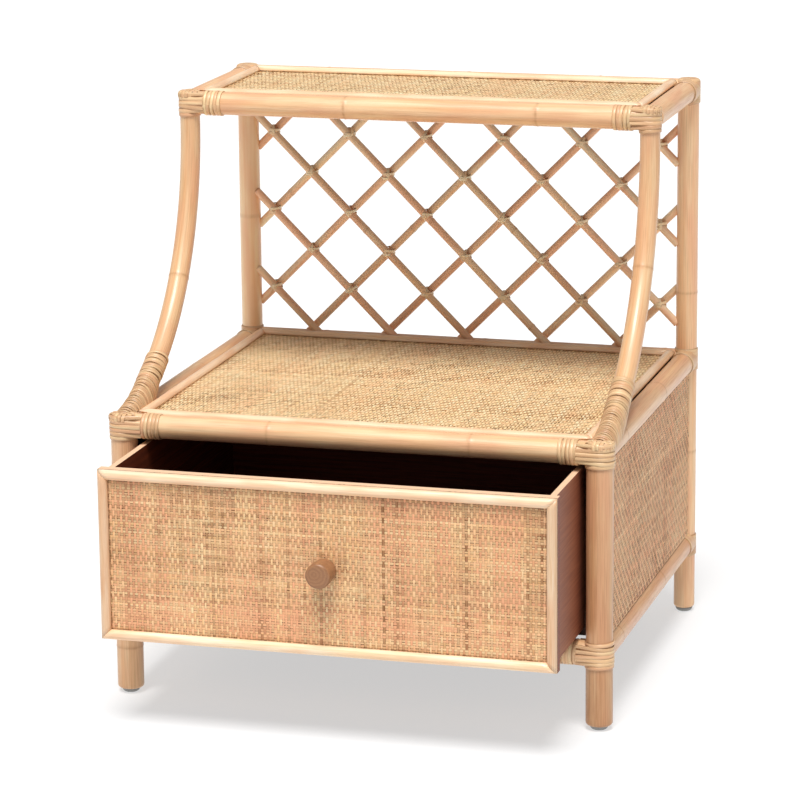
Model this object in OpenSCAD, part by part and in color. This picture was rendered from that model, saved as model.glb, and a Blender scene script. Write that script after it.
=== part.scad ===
// Rattan side table: a framed cabinet with one drawer under a low deck,
// and a shallow shelf held above it by two rear posts and two bent arms.
// X runs to the right, Y to the back, Z up. The origin is on the floor,
// in the middle of the four leg axes.

/* [Overall] */
// Width across the outer faces of the legs
table_w = 500; // [400:5:640]
// Depth from the front of the front legs to the back face of a leg of the same size
table_d = 428; // [390:2:540]
// Height of the centre line of the top shelf's rails
shelf_h = 554; // [545:1:720]
// Height of the centre line of the deck's rails
deck_h = 271; // [215:1:275]
// Height of the centre line of the base rails
base_h = 75; // [60:1:95]
// Depth of the top shelf from the arm axis to the rear post axis
shelf_depth = 187; // [150:1:225]

/* [Poles] */
// Diameter of the front legs
leg_d = 26; // [22:0.5:32]
// Diameter of the rear posts
post_d = 22; // [18:0.5:26]
// Diameter of the bent arms
arm_d = 20; // [16:0.5:24]
// Diameter of all rails
rail_d = 23; // [19:0.5:27]
// Rounding of the bottom edge of legs and posts
foot_round = 3; // [1:0.5:5]
// How much thicker the arm is above the growth ring where its bend starts
arm_ring = 0.2; // [0.1:0.1:0.6]
// How far in front of the leg axis the arm's bend would touch the side rail's axis
arm_overrun = 45; // [30:1:60]
// Least straight length of the arm above its bend
arm_straight_min = 12; // [5:1:40]
// Angle of the bend at which the arm is cut off
arm_end_angle = 75; // [70:0.5:77]
// Gap left by a pole end that is cut to sit against another pole
cope_gap = 0.1; // [0.05:0.05:0.4]

/* [Panels] */
// Thickness of the deck and shelf boards
board_t = 9; // [6:0.5:12]
// Height of the board's top face above the rail axis
board_rise = 7; // [4:0.5:8]
// Thickness of the woven mats on the deck and shelf
mat_t = 1.2; // [0.8:0.1:2]
// Width of the half-round bead round each mat
bead_w = 10; // [7:0.5:14]
// Gap at the mitres and between bead and rail
bead_gap = 0.1; // [0.05:0.05:0.3]
// Thickness of the side and back boards
wall_t = 6; // [4:0.5:9]
// Distance of the outer face of a side or back board outside the pole axes
wall_out = 4.5; // [3:0.5:6]
// Width of the half-round slip that covers the front edge of each side mat
slip_w = 4; // [3:0.5:6]

/* [Lattice] */
// Diameter of the lattice sticks
stick_d = 8; // [6:0.5:10]
// Distance between crossings in one row
lattice_pitch = 83.6; // [70:0.2:100]
// Height of the lowest meeting points above the deck rail's axis
lattice_foot = 16; // [12:0.5:24]
// Diameter of the peel knots at the crossings
knot_d = 13.5; // [12:0.5:16]
// Thickness of the knot over the sticks
knot_t = 1; // [0.6:0.1:1.6]
// Clearance of a knot or binding round what it wraps
wrap_gap = 0.05; // [0.02:0.01:0.1]

/* [Bindings] */
// Thickness of the peel bindings and rear sleeves
peel_t = 1.2; // [0.8:0.1:1.3]
// Thickness of the lashing round each arm
lash_t = 2; // [1.8:0.1:2.6]
// Length of binding along the front rails, from the pole's face
bind_len = 26; // [18:1:34]
// Length of binding on a pole above and below a rail
bind_over = 2; // [1:0.25:3]
// Angle of the bend at which the arm's lashing starts
lash_start_angle = 56; // [50:1:60]
// Length of a rear sleeve along a side rail, from the post's face
sleeve_len = 14; // [8:1:24]

/* [Drawer] */
// Gap between the drawer front and each front leg
front_side_gap = 1; // [0.6:0.1:3]
// Gap between the drawer front and the base rail
front_low_gap = 2.5; // [1:0.5:5]
// Gap between the drawer front and the deck rail
front_top_gap = 3.5; // [1:0.5:6]
// Thickness of the drawer front board
front_t = 9.5; // [7:0.5:14]
// Thickness of the woven mat on the drawer front
front_mat_t = 1; // [0.6:0.1:2]
// Thickness of the drawer sides and back
box_t = 6; // [5:0.5:11]
// Inset of the drawer box from each end of the front
box_inset = 5; // [3:0.5:8]
// Height of the box's lower edge above the lower edge of the front
box_rise = 5; // [3:0.5:8]
// Drop of the box's top edge below the top of the front
box_drop = 2; // [1:0.5:5]
// Thickness of the drawer bottom
bottom_t = 4; // [3:0.5:6]
// Height of the drawer bottom above the box's lower edge
bottom_rise = 4; // [3:0.5:8]
// Depth of the grooves that hold the bottom
groove_depth = 3; // [2:0.5:5]
// Clearance of the bottom in its grooves
groove_gap = 0.2; // [0.1:0.05:0.4]
// Distance from the drawer's back to the inside of the back board when shut
box_rear_gap = 22; // [15:1:40]
// Full travel of the drawer
travel = 278; // [200:1:280]
// How far the drawer stands open in this position
open_now = 118; // [0:1:200]
// Diameter of the knob
knob_d = 24.5; // [18:0.5:30]
// Length of the knob in front of the mat
knob_len = 24; // [20:0.5:34]
// Diameter of the knob's screw
knob_screw_d = 4; // [3:0.5:5]

/* [Runners] */
// Width of the lip under each drawer side
runner_lip_w = 13; // [10:0.5:18]
// Height of the runner's upright guide above the drawer's lower edge
guide_h = 16; // [10:1:24]
// Sliding gap under and over the drawer sides
slide_gap = 0.4; // [0.3:0.1:1]
// Gap between each drawer side and its guide
guide_gap = 1; // [0.6:0.1:2]
// Gap between a stop and the drawer at the end of its travel
stop_gap = 0.5; // [0.3:0.1:1]
// Length of each stop block along the travel
stop_len = 12; // [8:0.5:13]

/* [Hardware] */
// Shank diameter of the frame screws
screw_d = 4; // [3:0.5:5]
// Length of the frame screws
screw_len = 45; // [35:1:60]
// Height offset that lets two screws cross inside one pole
screw_shift = 3.5; // [3:0.5:5]
// Shank diameter of the runner screws
runner_screw_d = 3.5; // [3:0.5:4]
// Radial clearance of all screws
screw_gap = 0.05; // [0.02:0.01:0.1]
// Diameter of the plastic glides
glide_d = 18; // [12:0.5:20]
// Thickness of the glides
glide_t = 4.5; // [2:0.5:6]

/* [Hidden] */
$fn = 64;
eps = 1;
leg_x = table_w / 2 - leg_d / 2;
leg_y = table_d / 2 - leg_d / 2;
leg_r = leg_d / 2;
post_r = post_d / 2;
arm_r = arm_d / 2;
rail_r = rail_d / 2;
arm_y = leg_y - shelf_depth;
leg_top = deck_h + rail_r;
frame_top = shelf_h + rail_r;
bend_r = min(arm_y + leg_y + arm_overrun, shelf_h - deck_h - arm_straight_min);
bend_z = deck_h + bend_r;
// Half width of a rail at the height where the bead lies on the mat
rail_half_at_bead = sqrt(rail_r * rail_r - pow(board_rise + mat_t, 2));
// The bead clears both the rail and the arm that comes down on the rail
bead_set = max(rail_half_at_bead, arm_r) + bead_gap;
board_set = rail_r + cope_gap;
wall_low = base_h + rail_r + cope_gap;
wall_high = deck_h - rail_r - cope_gap;
wall_in_x = leg_x + wall_out - wall_t;
wall_in_y = leg_y + wall_out - wall_t;
lattice_z = deck_h + lattice_foot;
stick_y = stick_d / 2 + wrap_gap;
front_w = 2 * (leg_x - leg_r - front_side_gap);
front_z0 = base_h + rail_r + front_low_gap;
front_z1 = deck_h - rail_r - front_top_gap;
front_y = -leg_y + bead_w / 2 + front_mat_t;
box_y0 = front_y + front_t;
box_y1 = wall_in_y - box_rear_gap;
box_x = front_w / 2 - box_inset;
box_z0 = front_z0 + box_rise;
box_z1 = front_z1 - box_drop;
bottom_z = box_z0 + bottom_rise;
knob_z = (front_z0 + front_z1) / 2;
guide_x = box_x + guide_gap;
runner_z0 = wall_low;
runner_y0 = box_y0 + stop_gap;
runner_y1 = leg_y - post_r - 2 * cope_gap;
lip_z = box_z0 - slide_gap;
board_low = board_rise - board_t;
screw_sink = 0.8;

cane = "burlywood";
peel = "wheat";
mat = "tan";
ply = "saddlebrown";
steel = "silver";

// Everything is drawn for the right-hand side; this puts it on either side
module on_side(s) { mirror([s < 0 ? 1 : 0, 0, 0]) children(); }

module block(low, high) { translate(low) cube(high - low); }

// A round bar between two places along one axis
module bar_x(x0, x1, y, z, d) { translate([x0, y, z]) rotate([0, 90, 0]) cylinder(d = d, h = x1 - x0); }
module bar_y(x, y0, y1, z, d) { translate([x, y0, z]) rotate([-90, 0, 0]) cylinder(d = d, h = y1 - y0); }
module bar_z(x, y, z0, z1, d) { translate([x, y, z0]) cylinder(d = d, h = z1 - z0); }

// A countersunk wood screw whose head is at the origin and whose tip is along -Z
module wood_screw(d, len, grow) {
  translate([0, 0, -len - grow]) cylinder(d = d + 2 * grow, h = len + grow);
  translate([0, 0, -d / 2 - grow])
    cylinder(d1 = d + 2 * grow, d2 = 2 * d + 2 * grow, h = d / 2 + grow);
}

// The two screws that go through an upright pole into the rails that meet it;
// dir_y is 1 when the side rail leaves the pole towards the back
module corner_screws(y, z, pole_r, dir_y, grow) {
  translate([leg_x + pole_r - screw_sink, y, z + screw_shift])
    rotate([0, 90, 0]) wood_screw(screw_d, screw_len, grow);
  translate([leg_x, y - dir_y * (pole_r - screw_sink), z - screw_shift])
    rotate([dir_y * 90, 0, 0]) wood_screw(screw_d, screw_len, grow);
}
module leg_screws(z, grow) { corner_screws(-leg_y, z, leg_r, 1, grow); }
module post_screws(z, grow) { corner_screws(leg_y, z, post_r, -1, grow); }
module arm_screws(grow) { corner_screws(arm_y, shelf_h, arm_r, 1, grow); }

// An upright pole with a rounded foot
module upright(d, z0, z1) {
  rotate_extrude()
    union() {
      translate([0, z0 + foot_round]) square([d / 2, z1 - z0 - foot_round]);
      translate([0, z0]) square([d / 2 - foot_round, foot_round + 1]);
      intersection() {
        translate([d / 2 - foot_round, z0 + foot_round]) circle(r = foot_round);
        square([d / 2, z1]);
      }
    }
}

module front_leg(s) {
  color(cane) on_side(s) difference() {
    translate([leg_x, -leg_y, 0]) upright(leg_d, glide_t, leg_top);
    for (z = [base_h, deck_h]) leg_screws(z, screw_gap);
  }
}

module rear_post(s) {
  color(cane) on_side(s) difference() {
    translate([leg_x, leg_y, 0]) upright(post_d, glide_t, frame_top);
    for (z = [base_h, deck_h, shelf_h]) post_screws(z, screw_gap);
  }
}

// The bent part of an arm from one angle of the bend to another, 0 being its top
module arm_bend(a0, a1, d) {
  translate([leg_x, arm_y - bend_r, bend_z])
    rotate([90, 0, 0]) rotate([0, 90, 0]) rotate([0, 0, -a1])
      rotate_extrude(angle = a1 - a0, $fn = 96)
        translate([bend_r, 0]) circle(d = d, $fn = 48);
}

module arm(s) {
  color(cane) on_side(s) difference() {
    union() {
      bar_z(leg_x, arm_y, bend_z - eps, frame_top, arm_d);
      arm_bend(0, arm_end_angle, arm_d - arm_ring);
    }
    bar_y(leg_x, -leg_y, leg_y, deck_h, rail_d + 2 * cope_gap);
    arm_screws(screw_gap);
  }
}

// A rail across the table, its ends cut hollow to sit against two upright poles
module cross_rail(y, z, pole_d) {
  color(cane) difference() {
    bar_x(-leg_x, leg_x, y, z, rail_d);
    for (s = [-1, 1])
      bar_z(s * leg_x, y, z - rail_d, z + rail_d, pole_d + 2 * cope_gap);
    children();
  }
}

// A rail along one side between two upright poles
module side_rail(s, y0, d0, z) {
  color(cane) on_side(s) difference() {
    bar_y(leg_x, y0 + min(board_set, d0 / 2), leg_y - min(board_set, post_r), z, rail_d);
    for (y = [y0, leg_y]) bar_x(0, leg_x, y, z, rail_d + cope_gap);
    bar_z(leg_x, y0, z - rail_d, z + rail_d, d0 + 2 * cope_gap);
    bar_z(leg_x, leg_y, z - rail_d, z + rail_d, post_d + 2 * cope_gap);
    children();
  }
}

module front_rail(z) {
  cross_rail(-leg_y, z, leg_d) for (s = [-1, 1]) on_side(s) leg_screws(z, screw_gap);
}
module rear_rail(z) {
  cross_rail(leg_y, z, post_d) for (s = [-1, 1]) on_side(s) post_screws(z, screw_gap);
}
module low_side_rail(s, z) {
  side_rail(s, -leg_y, leg_d, z) {
    leg_screws(z, screw_gap);
    post_screws(z, screw_gap);
  }
}
module top_front_rail() {
  cross_rail(arm_y, shelf_h, arm_d) for (s = [-1, 1]) on_side(s) arm_screws(screw_gap);
}
module top_side_rail(s) {
  side_rail(s, arm_y, arm_d, shelf_h) {
    arm_screws(screw_gap);
    post_screws(shelf_h, screw_gap);
  }
}

// The four poles at the corners of a board, with their clearance; d0 is the front ones'
module corner_poles(y0, d0, z) {
  for (s = [-1, 1]) {
    bar_z(s * leg_x, y0, z - rail_d, z + rail_d, d0 + 2 * cope_gap);
    bar_z(s * leg_x, leg_y, z - rail_d, z + rail_d, post_d + 2 * cope_gap);
  }
}

// A board with its mat, held between four rails; y0 is the front rail's axis
module rail_board(y0, d0, z) {
  color(ply) difference() {
    block([-leg_x + board_set, y0 + board_set, z + board_low],
          [leg_x - board_set, leg_y - board_set, z + board_rise]);
    corner_poles(y0, d0, z);
  }
}
module rail_mat(y0, d0, z) {
  color(mat) difference() {
    block([-leg_x + board_set, y0 + board_set, z + board_rise],
          [leg_x - board_set, leg_y - board_set, z + board_rise + mat_t]);
    corner_poles(y0, d0, z);
  }
}

// One half-round bar with mitred ends, its outer edge on the X axis
module bead_bar(len) {
  intersection() {
    translate([-len / 2, bead_w / 2, 0]) rotate([90, 0, 90]) linear_extrude(len)
      intersection() {
        circle(d = bead_w);
        translate([-bead_w / 2, 0]) square([bead_w, bead_w / 2]);
      }
    translate([0, 0, -eps]) linear_extrude(bead_w)
      polygon([[-len / 2 + bead_gap, 0], [len / 2 - bead_gap, 0],
               [len / 2 - bead_w - bead_gap, bead_w], [-len / 2 + bead_w + bead_gap, bead_w]]);
  }
}
// Four bars round a rectangle that lies on Z = 0
module bead_frame(w, d) {
  color(peel) for (s = [0, 180]) {
    rotate([0, 0, s]) translate([0, -d / 2, 0]) bead_bar(w);
    rotate([0, 0, s + 90]) translate([0, -w / 2, 0]) bead_bar(d);
  }
}
module rail_bead(y0, d0, z) {
  color(peel) difference() {
    translate([0, (y0 + leg_y) / 2, z + board_rise + mat_t])
      bead_frame(2 * (leg_x - bead_set), leg_y - y0 - 2 * bead_set);
    corner_poles(y0, d0, z);
  }
}

module side_board(s) {
  color(ply) on_side(s) difference() {
    block([wall_in_x, -leg_y + leg_r + cope_gap, wall_low],
          [wall_in_x + wall_t, leg_y - post_r - cope_gap, wall_high]);
    runner_screw_set(screw_gap);
  }
}
module side_weave(s) {
  color(mat) on_side(s)
    block([wall_in_x + wall_t, -leg_y + leg_r + cope_gap, wall_low],
          [wall_in_x + wall_t + mat_t, leg_y - post_r - cope_gap, wall_high]);
}
// Upright slips over the cut front edges of the side mats
module side_slips() {
  slip_x = wall_in_x + wall_t + mat_t;
  y = -leg_y + leg_r + cope_gap + slip_w / 2;
  color(peel) for (s = [-1, 1]) on_side(s) intersection() {
    bar_z(slip_x, y, wall_low, wall_high, slip_w);
    block([slip_x, y - slip_w, wall_low], [slip_x + slip_w, y + slip_w, wall_high]);
  }
}

back_half = leg_x - post_r - cope_gap;
module back_board() {
  color(ply) block([-back_half, wall_in_y, wall_low], [back_half, wall_in_y + wall_t, wall_high]);
}
module back_weave() {
  color(mat) block([-back_half, wall_in_y + wall_t, wall_low],
                   [back_half, wall_in_y + wall_t + mat_t, wall_high]);
}

// Sticks that rise to the right; the falling ones are their mirror image
stick_first = -floor((leg_x + shelf_h - deck_h) / lattice_pitch) - 1;
stick_last = floor(leg_x / lattice_pitch);
module slant_sticks(d, dy) {
  reach = shelf_h - deck_h + rail_d;
  intersection() {
    for (k = [stick_first : stick_last])
      translate([k * lattice_pitch, leg_y + dy, lattice_z]) rotate([0, 45, 0])
        translate([0, 0, -rail_d]) cylinder(d = d, h = reach * sqrt(2) + rail_d, $fn = 32);
    block([-leg_x, 0, deck_h], [leg_x, 2 * leg_y, shelf_h]);
  }
}
module lattice_rails() {
  for (s = [-1, 1]) {
    bar_z(s * leg_x, leg_y, base_h, frame_top, post_d + 2 * cope_gap);
    for (z = [deck_h, shelf_h])
      bar_z(s * leg_x, leg_y, z - rail_r - bind_over, z + rail_r + bind_over, post_d + 2 * (peel_t + wrap_gap));
  }
  for (z = [deck_h, shelf_h]) bar_x(-leg_x, leg_x, leg_y, z, rail_d + 2 * cope_gap);
}
module lattice_rising() {
  color(cane) difference() {
    slant_sticks(stick_d, stick_y);
    lattice_rails();
  }
}
module lattice_falling() {
  color(cane) difference() {
    mirror([1, 0, 0]) slant_sticks(stick_d, -stick_y);
    lattice_rails();
  }
}
// Crossings lie on every second half pitch; those too close to the frame have no knot
half_pitch = lattice_pitch / 2;
module lattice_knots() {
  rows = floor((shelf_h - rail_r - knot_d / 2 - lattice_z) / half_pitch);
  cols = floor((leg_x - post_r - knot_d / 2) / half_pitch);
  color(peel) for (row = [1 : rows], col = [-cols : cols])
    if ((row + col) % 2 == 0)
      translate([col * half_pitch, leg_y, lattice_z + row * half_pitch]) difference() {
        rotate([90, 0, 0])
          cylinder(d = knot_d, h = 2 * (2 * stick_y + knot_t), center = true, $fn = 32);
        for (t = [-1, 1]) translate([0, t * stick_y, 0]) rotate([0, t * 45, 0])
          cylinder(d = stick_d + 2 * wrap_gap, h = 2 * knot_d, center = true, $fn = 32);
      }
}

// Peel wrapped round a front corner: along the front rail, round the pole and over its
// end. It is open at the back, where the side rail and the boards meet the pole.
module corner_binding(s, y, z, pole_d, over) {
  color(peel) on_side(s) difference() {
    union() {
      bar_x(leg_x - pole_d / 2 - bind_len, leg_x, y, z, rail_d + 2 * peel_t);
      bar_z(leg_x, y, z - rail_r - bind_over, z + rail_r + over, pole_d + 2 * peel_t);
    }
    bar_z(leg_x, y, z - 2 * rail_d, z < deck_h ? z + rail_d : z + rail_r, pole_d + 2 * wrap_gap);
    bar_x(0, leg_x, y, z, rail_d + 2 * wrap_gap);
    block([0, y + min(bead_set, pole_d / 2 + bead_gap) - 2 * bead_gap, z - 2 * rail_d],
          [table_w, y + table_d, z + 2 * rail_d]);
  }
}
module top_binding(s) { corner_binding(s, arm_y, shelf_h, arm_d, peel_t); }
module deck_binding(s) { corner_binding(s, -leg_y, deck_h, leg_d, peel_t); }
module base_binding(s) { corner_binding(s, -leg_y, base_h, leg_d, bind_over / 2); }

// The long lashing that ties the foot of an arm to the side rail; it stays clear of
// the deck's bead, the side board and the binding of the front leg
module arm_lashing(s) {
  lash_y0 = arm_y - bend_r * (1 - cos(arm_end_angle));
  lash_y1 = arm_y - bend_r * (1 - cos(lash_start_angle + 7));
  wall_side = wall_in_x + wall_t + mat_t + slip_w / 2 + bead_gap;
  bead_top = deck_h + board_rise + mat_t + bead_w / 2 + bead_gap;
  color(peel) on_side(s) difference() {
    union() {
      arm_bend(lash_start_angle, arm_end_angle, arm_d + 2 * lash_t);
      bar_y(leg_x, lash_y0, lash_y1, deck_h, rail_d + 2 * peel_t);
    }
    arm_bend(lash_start_angle - 5, arm_end_angle + 5, arm_d + 2 * wrap_gap);
    bar_y(leg_x, -table_d, table_d, deck_h, rail_d + 2 * wrap_gap);
    block([0, -table_d, deck_h - 2 * rail_d], [leg_x - bead_set + 2 * bead_gap, table_d, bead_top]);
    block([0, -table_d, deck_h - 2 * rail_d], [wall_side, table_d, deck_h]);
    bar_z(leg_x, -leg_y, deck_h - rail_d, frame_top, leg_d + 2 * peel_t + 2 * bead_gap);
  }
}

// Smooth peel sleeves over the joints of a rear post, one at each level. free_below says
// whether the side rail's lower half is free of the side board, and free_above its upper
module rear_sleeve(z, over, free_below, free_above) {
  wall_side = wall_in_x + wall_t + mat_t + bead_gap;
  rail_end = leg_y - post_r + cope_gap;
  difference() {
    union() {
      bar_z(leg_x, leg_y, z - rail_r - bind_over, z + rail_r + over, post_d + 2 * peel_t);
      bar_y(leg_x, leg_y - post_r - sleeve_len, leg_y, z, rail_d + 2 * peel_t);
    }
    bar_z(leg_x, leg_y, z - 2 * rail_d, z < shelf_h ? z + 2 * rail_d : z + rail_r, post_d + 2 * wrap_gap);
    bar_y(leg_x, leg_y - 2 * rail_d, leg_y, z, rail_d + 2 * wrap_gap);
    bar_x(0, leg_x, leg_y, z, rail_d + 2 * wrap_gap);
    block([0, 0, z - rail_d], [leg_x - bead_set + 2 * bead_gap, rail_end, z + rail_d]);
    if (!free_below) block([0, 0, z - rail_d], [wall_side, rail_end, z]);
    if (!free_above) block([0, 0, z], [wall_side, rail_end, z + rail_d]);
    block([0, wall_in_y - cope_gap, wall_low - cope_gap],
          [back_half + cope_gap, wall_in_y + wall_t + mat_t + cope_gap, wall_high + cope_gap]);
  }
}
module rear_sleeves(s) {
  color(peel) on_side(s) {
    rear_sleeve(shelf_h, peel_t, true, true);
    rear_sleeve(deck_h, bind_over, false, true);
    rear_sleeve(base_h, bind_over, true, false);
  }
}

module glides() {
  color("gray") for (s = [-1, 1], y = [-leg_y, leg_y])
    translate([s * leg_x, y, 0]) cylinder(d = glide_d, h = glide_t);
}

// The screws that fix a runner to the side board, heads towards the drawer
module runner_screw_set(grow) {
  for (y = [-leg_y * 0.75, 0, leg_y * 0.75])
    translate([guide_x + screw_gap, y, lip_z + guide_h / 2]) rotate([0, -90, 0])
      wood_screw(runner_screw_d, wall_in_x - guide_x + wall_t / 2, grow);
}
// A runner: a lip that the drawer side slides on and an upright that guides it
module runner(s) {
  color(ply) on_side(s) difference() {
    union() {
      block([box_x - runner_lip_w, runner_y0, runner_z0], [wall_in_x - cope_gap, runner_y1, lip_z]);
      block([guide_x, runner_y0, runner_z0], [wall_in_x - cope_gap, runner_y1, lip_z + guide_h]);
    }
    runner_screw_set(screw_gap);
  }
}
// Strips under the deck board that keep the open drawer from tipping
module kickers() {
  color(ply) for (s = [-1, 1]) on_side(s)
    block([box_x - runner_lip_w, runner_y0, box_z1 + slide_gap],
          [leg_x - board_set, leg_y - board_set, deck_h + board_low - cope_gap]);
}
// Two blocks stop the drawer when it is shut; one under the deck stops it when open
module drawer_stops() {
  stop_drop = 4;
  stop_half = 20;
  stop_y = box_y1 - box_t - travel - stop_gap;
  color(ply) {
    for (s = [-1, 1]) on_side(s)
      block([box_x - runner_lip_w, box_y1 + stop_gap, lip_z + cope_gap],
            [guide_x - cope_gap, box_y1 + stop_gap + stop_len, lip_z + guide_h]);
    block([-stop_half, stop_y - stop_len, box_z1 - stop_drop],
          [stop_half, stop_y, deck_h + board_low - cope_gap]);
  }
}

module frame_screws() {
  color(steel) for (s = [-1, 1]) on_side(s) {
    for (z = [base_h, deck_h]) leg_screws(z, 0);
    for (z = [base_h, deck_h, shelf_h]) post_screws(z, 0);
    arm_screws(0);
  }
}
module runner_screws() {
  color(steel) for (s = [-1, 1]) on_side(s) runner_screw_set(0);
}

// The drawer is drawn shut; this pulls it out to where it stands
module pulled() { translate([0, -open_now, 0]) children(); }

knob_base = front_y - front_mat_t;
knob_bite = 0.6 * knob_len;
screw_seat = box_y0;
module knob_screw_shape(grow) {
  translate([0, screw_seat, knob_z]) rotate([90, 0, 0])
    cylinder(d = knob_screw_d + 2 * grow, h = screw_seat - knob_base + knob_bite + grow);
}
module drawer_bottom_shape(grow) {
  block([-box_x + box_t - groove_depth - grow, box_y0 - groove_depth - grow, bottom_z - grow],
        [box_x - box_t + groove_depth + grow, box_y1, bottom_z + bottom_t + grow]);
}
module drawer_front() {
  color(ply) pulled() difference() {
    block([-front_w / 2, front_y, front_z0], [front_w / 2, box_y0, front_z1]);
    drawer_bottom_shape(groove_gap);
    knob_screw_shape(screw_gap);
  }
}
module drawer_weave() {
  color(mat) pulled() difference() {
    block([-front_w / 2, knob_base, front_z0], [front_w / 2, front_y, front_z1]);
    knob_screw_shape(screw_gap);
  }
}
module drawer_bead() {
  pulled() translate([0, knob_base, knob_z]) rotate([90, 0, 0])
    bead_frame(front_w, front_z1 - front_z0);
}
module drawer_side(s) {
  color(ply) pulled() on_side(s) difference() {
    block([box_x - box_t, box_y0 + wrap_gap, box_z0], [box_x, box_y1, box_z1]);
    translate([0, eps, 0]) drawer_bottom_shape(groove_gap);
    drawer_bottom_shape(groove_gap);
  }
}
module drawer_back() {
  color(ply) pulled()
    block([-box_x + box_t + wrap_gap, box_y1 - box_t, bottom_z + bottom_t + groove_gap],
          [box_x - box_t - wrap_gap, box_y1, box_z1]);
}
module drawer_bottom() {
  color(ply) pulled() drawer_bottom_shape(0);
}
// A short turned knob with a waist against the drawer and a rounded face
module knob() {
  edge = 3;
  waist = 0.92 * knob_d;
  color("peru") pulled() difference() {
    translate([0, knob_base - wrap_gap, knob_z]) rotate([90, 0, 0]) rotate_extrude() union() {
      polygon([[0, 0], [waist / 2, 0], [knob_d / 2, 0.55 * knob_len],
               [knob_d / 2, knob_len - edge], [0, knob_len - edge]]);
      square([knob_d / 2 - edge, knob_len]);
      intersection() {
        translate([knob_d / 2 - edge, knob_len - edge]) circle(r = edge);
        square([knob_d, knob_len]);
      }
    }
    knob_screw_shape(screw_gap);
  }
}
module knob_screw() {
  color(steel) pulled() {
    knob_screw_shape(0);
    translate([0, screw_seat, knob_z]) rotate([-90, 0, 0])
      cylinder(d = 2 * knob_screw_d, h = 0.6 * knob_screw_d);
  }
}

front_leg(-1);  // front_leg_left
front_leg(1);  // front_leg_right
rear_post(-1);  // rear_post_left
rear_post(1);  // rear_post_right
arm(-1);  // arm_left
arm(1);  // arm_right
top_front_rail();  // top_rail_front
rear_rail(shelf_h);  // top_rail_rear
top_side_rail(-1);  // top_rail_left
top_side_rail(1);  // top_rail_right
front_rail(deck_h);  // deck_rail_front
rear_rail(deck_h);  // deck_rail_rear
low_side_rail(-1, deck_h);  // deck_rail_left
low_side_rail(1, deck_h);  // deck_rail_right
front_rail(base_h);  // base_rail_front
rear_rail(base_h);  // base_rail_rear
low_side_rail(-1, base_h);  // base_rail_left
low_side_rail(1, base_h);  // base_rail_right
rail_board(arm_y, arm_d, shelf_h);  // shelf_board
rail_mat(arm_y, arm_d, shelf_h);  // shelf_weave
rail_bead(arm_y, arm_d, shelf_h);  // shelf_bead
rail_board(-leg_y, leg_d, deck_h);  // deck_board
rail_mat(-leg_y, leg_d, deck_h);  // deck_weave
rail_bead(-leg_y, leg_d, deck_h);  // deck_bead
side_board(-1);  // side_board_left
side_board(1);  // side_board_right
side_weave(-1);  // side_weave_left
side_weave(1);  // side_weave_right
side_slips();
back_board();
back_weave();
lattice_rising();
lattice_falling();
lattice_knots();
top_binding(-1);  // binding_top_left
top_binding(1);  // binding_top_right
deck_binding(-1);  // binding_deck_left
deck_binding(1);  // binding_deck_right
base_binding(-1);  // binding_base_left
base_binding(1);  // binding_base_right
arm_lashing(-1);  // arm_lashing_left
arm_lashing(1);  // arm_lashing_right
rear_sleeves(-1);  // rear_sleeves_left
rear_sleeves(1);  // rear_sleeves_right
glides();
runner(-1);  // runner_left
runner(1);  // runner_right
kickers();
drawer_stops();
frame_screws();
runner_screws();
drawer_front();
drawer_weave();
drawer_bead();
drawer_side(-1);  // drawer_side_left
drawer_side(1);  // drawer_side_right
drawer_back();
drawer_bottom();
knob();
knob_screw();
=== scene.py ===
import math

import bpy
import numpy as np
from mathutils import Matrix, Vector


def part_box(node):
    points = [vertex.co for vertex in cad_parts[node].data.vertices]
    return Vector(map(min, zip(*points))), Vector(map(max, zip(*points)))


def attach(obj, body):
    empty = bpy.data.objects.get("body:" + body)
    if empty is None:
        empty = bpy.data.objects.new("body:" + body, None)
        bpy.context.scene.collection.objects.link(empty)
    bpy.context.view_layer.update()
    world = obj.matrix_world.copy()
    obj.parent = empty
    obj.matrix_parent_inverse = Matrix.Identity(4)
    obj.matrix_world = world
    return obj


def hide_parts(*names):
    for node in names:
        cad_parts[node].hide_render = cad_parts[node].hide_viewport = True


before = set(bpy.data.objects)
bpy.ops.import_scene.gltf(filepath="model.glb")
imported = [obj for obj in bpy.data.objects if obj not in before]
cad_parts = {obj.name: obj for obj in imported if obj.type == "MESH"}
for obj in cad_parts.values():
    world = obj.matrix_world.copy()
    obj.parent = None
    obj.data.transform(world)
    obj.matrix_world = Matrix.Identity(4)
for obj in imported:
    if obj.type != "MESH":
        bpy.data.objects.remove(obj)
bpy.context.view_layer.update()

MM = 0.001


# ---------------------------------------------------------------------------------------
# The camera: a long lens a little over three metres away, to the right of the table and
# above it, so that the poles stay almost parallel.
CAMERA_PLACE = (0.9746, -3.448, 1.1294)
CAMERA_YAW, CAMERA_PITCH, CAMERA_ROLL = math.radians(-16.02), math.radians(13.61), math.radians(-0.55)
LENS = 164.8

camera_data = bpy.data.cameras.new("camera")
camera_data.lens = LENS
camera_data.clip_end = 60
camera = bpy.data.objects.new("camera", camera_data)
bpy.context.scene.collection.objects.link(camera)
ahead = Vector((math.sin(CAMERA_YAW) * math.cos(CAMERA_PITCH),
                math.cos(CAMERA_YAW) * math.cos(CAMERA_PITCH), -math.sin(CAMERA_PITCH)))
level = Vector((math.cos(CAMERA_YAW), -math.sin(CAMERA_YAW), 0))
right = level * math.cos(CAMERA_ROLL) + level.cross(ahead) * math.sin(CAMERA_ROLL)
upward = right.cross(ahead)
turned = Matrix((right, upward, -ahead)).transposed().to_4x4()
camera.matrix_world = Matrix.Translation(CAMERA_PLACE) @ turned
bpy.context.scene.camera = camera


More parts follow.
